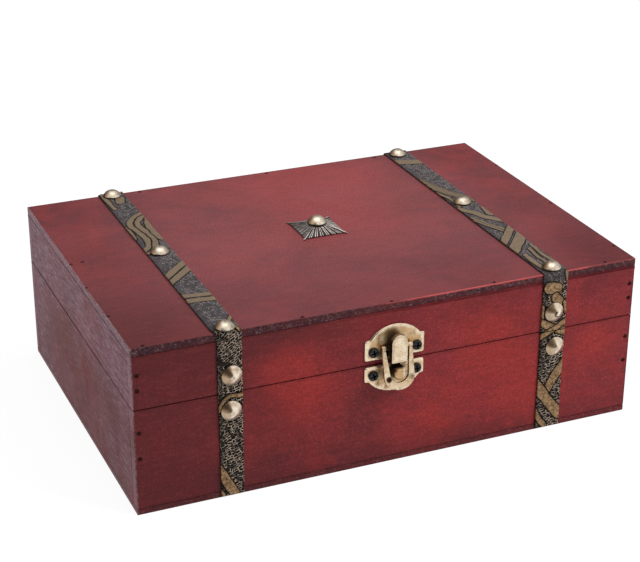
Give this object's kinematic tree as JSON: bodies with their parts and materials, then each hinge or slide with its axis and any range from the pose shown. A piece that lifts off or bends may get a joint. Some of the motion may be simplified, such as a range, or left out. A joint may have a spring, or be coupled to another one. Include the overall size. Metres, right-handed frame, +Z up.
{
  "type": "wooden jewelry box",
  "caption": "Trunk-style wooden jewelry box with a hinged lid, studded leather straps, a fluted square ornament and a swing hasp latch.",
  "frame": {"origin": "centre of the underside, where the closed box rests", "axes": "+X along the front to the right as seen from the latch, +Y towards the hinges, +Z up"},
  "size_m": [0.22, 0.1655, 0.0782],
  "materials": {
    "red_wood": "worn red stain, satin",
    "strap_leather": "embossed faux leather, black and bronze",
    "stud_brass": "antique brass, polished domes",
    "hinge_brass": "antique brass, brushed",
    "pale_brass": "pale antique brass, worn",
    "dark_pewter": "darkened pewter with rubbed ridges",
    "black_screw": "black oxide",
    "nail_steel": "dulled steel"
  },
  "bodies": {
    "base": {"base_bottom_panel": "red_wood", "base_front_panel": "red_wood", "base_back_panel": "red_wood", "base_left_panel": "red_wood", "base_right_panel": "red_wood", "base_front_strap_left": "strap_leather", "base_back_strap_left": "strap_leather", "base_front_strap_right": "strap_leather", "base_back_strap_right": "strap_leather", "base_front_stud_left": "stud_brass", "base_front_stud_right": "stud_brass", "latch_keeper_plate": "pale_brass", "keeper_screw_left": "black_screw", "keeper_screw_right": "black_screw", "hinge_base_leaf_left": "hinge_brass", "hinge_base_leaf_right": "hinge_brass", "hinge_pin_left": "hinge_brass", "hinge_pin_right": "hinge_brass", "hinge_base_screw_left_a": "hinge_brass", "hinge_base_screw_left_b": "hinge_brass", "hinge_base_screw_right_a": "hinge_brass", "hinge_base_screw_right_b": "hinge_brass", "base_nail_left_lower": "nail_steel", "base_nail_left_upper": "nail_steel", "base_nail_right_lower": "nail_steel", "base_nail_right_upper": "nail_steel"},
    "lid": {"lid_top_panel": "red_wood", "lid_front_rail": "red_wood", "lid_back_rail": "red_wood", "lid_left_rail": "red_wood", "lid_right_rail": "red_wood", "lid_strap_left": "strap_leather", "lid_strap_right": "strap_leather", "lid_top_back_stud_left": "stud_brass", "lid_top_middle_stud_left": "stud_brass", "lid_top_fold_stud_left": "stud_brass", "lid_front_stud_left": "stud_brass", "lid_top_back_stud_right": "stud_brass", "lid_top_middle_stud_right": "stud_brass", "lid_top_fold_stud_right": "stud_brass", "lid_front_stud_right": "stud_brass", "ornament_plate": "dark_pewter", "ornament_stud": "stud_brass", "latch_catch_plate": "pale_brass", "catch_screw_left": "black_screw", "catch_screw_right": "black_screw", "hinge_lid_leaf_left": "hinge_brass", "hinge_lid_leaf_right": "hinge_brass", "hinge_lid_screw_left_a": "hinge_brass", "hinge_lid_screw_left_b": "hinge_brass", "hinge_lid_screw_right_a": "hinge_brass", "hinge_lid_screw_right_b": "hinge_brass", "lid_nail_left_lower": "nail_steel", "lid_nail_left_upper": "nail_steel", "lid_nail_right_lower": "nail_steel", "lid_nail_right_upper": "nail_steel"},
    "hasp": {"latch_hasp": "pale_brass"}
  },
  "joints": [
    {"name": "lid_hinge", "type": "hinge", "parent": "base", "child": "lid", "pos_m": [0, 0.079, 0.046], "axis": [-1, 0, 0], "range_deg": [0, 105]},
    {"name": "hasp_swing", "type": "hinge", "parent": "lid", "child": "hasp", "pos_m": [-0.001, -0.0792, 0.0534], "axis": [-1, 0, 0], "range_deg": [0, 150]}
  ]
}
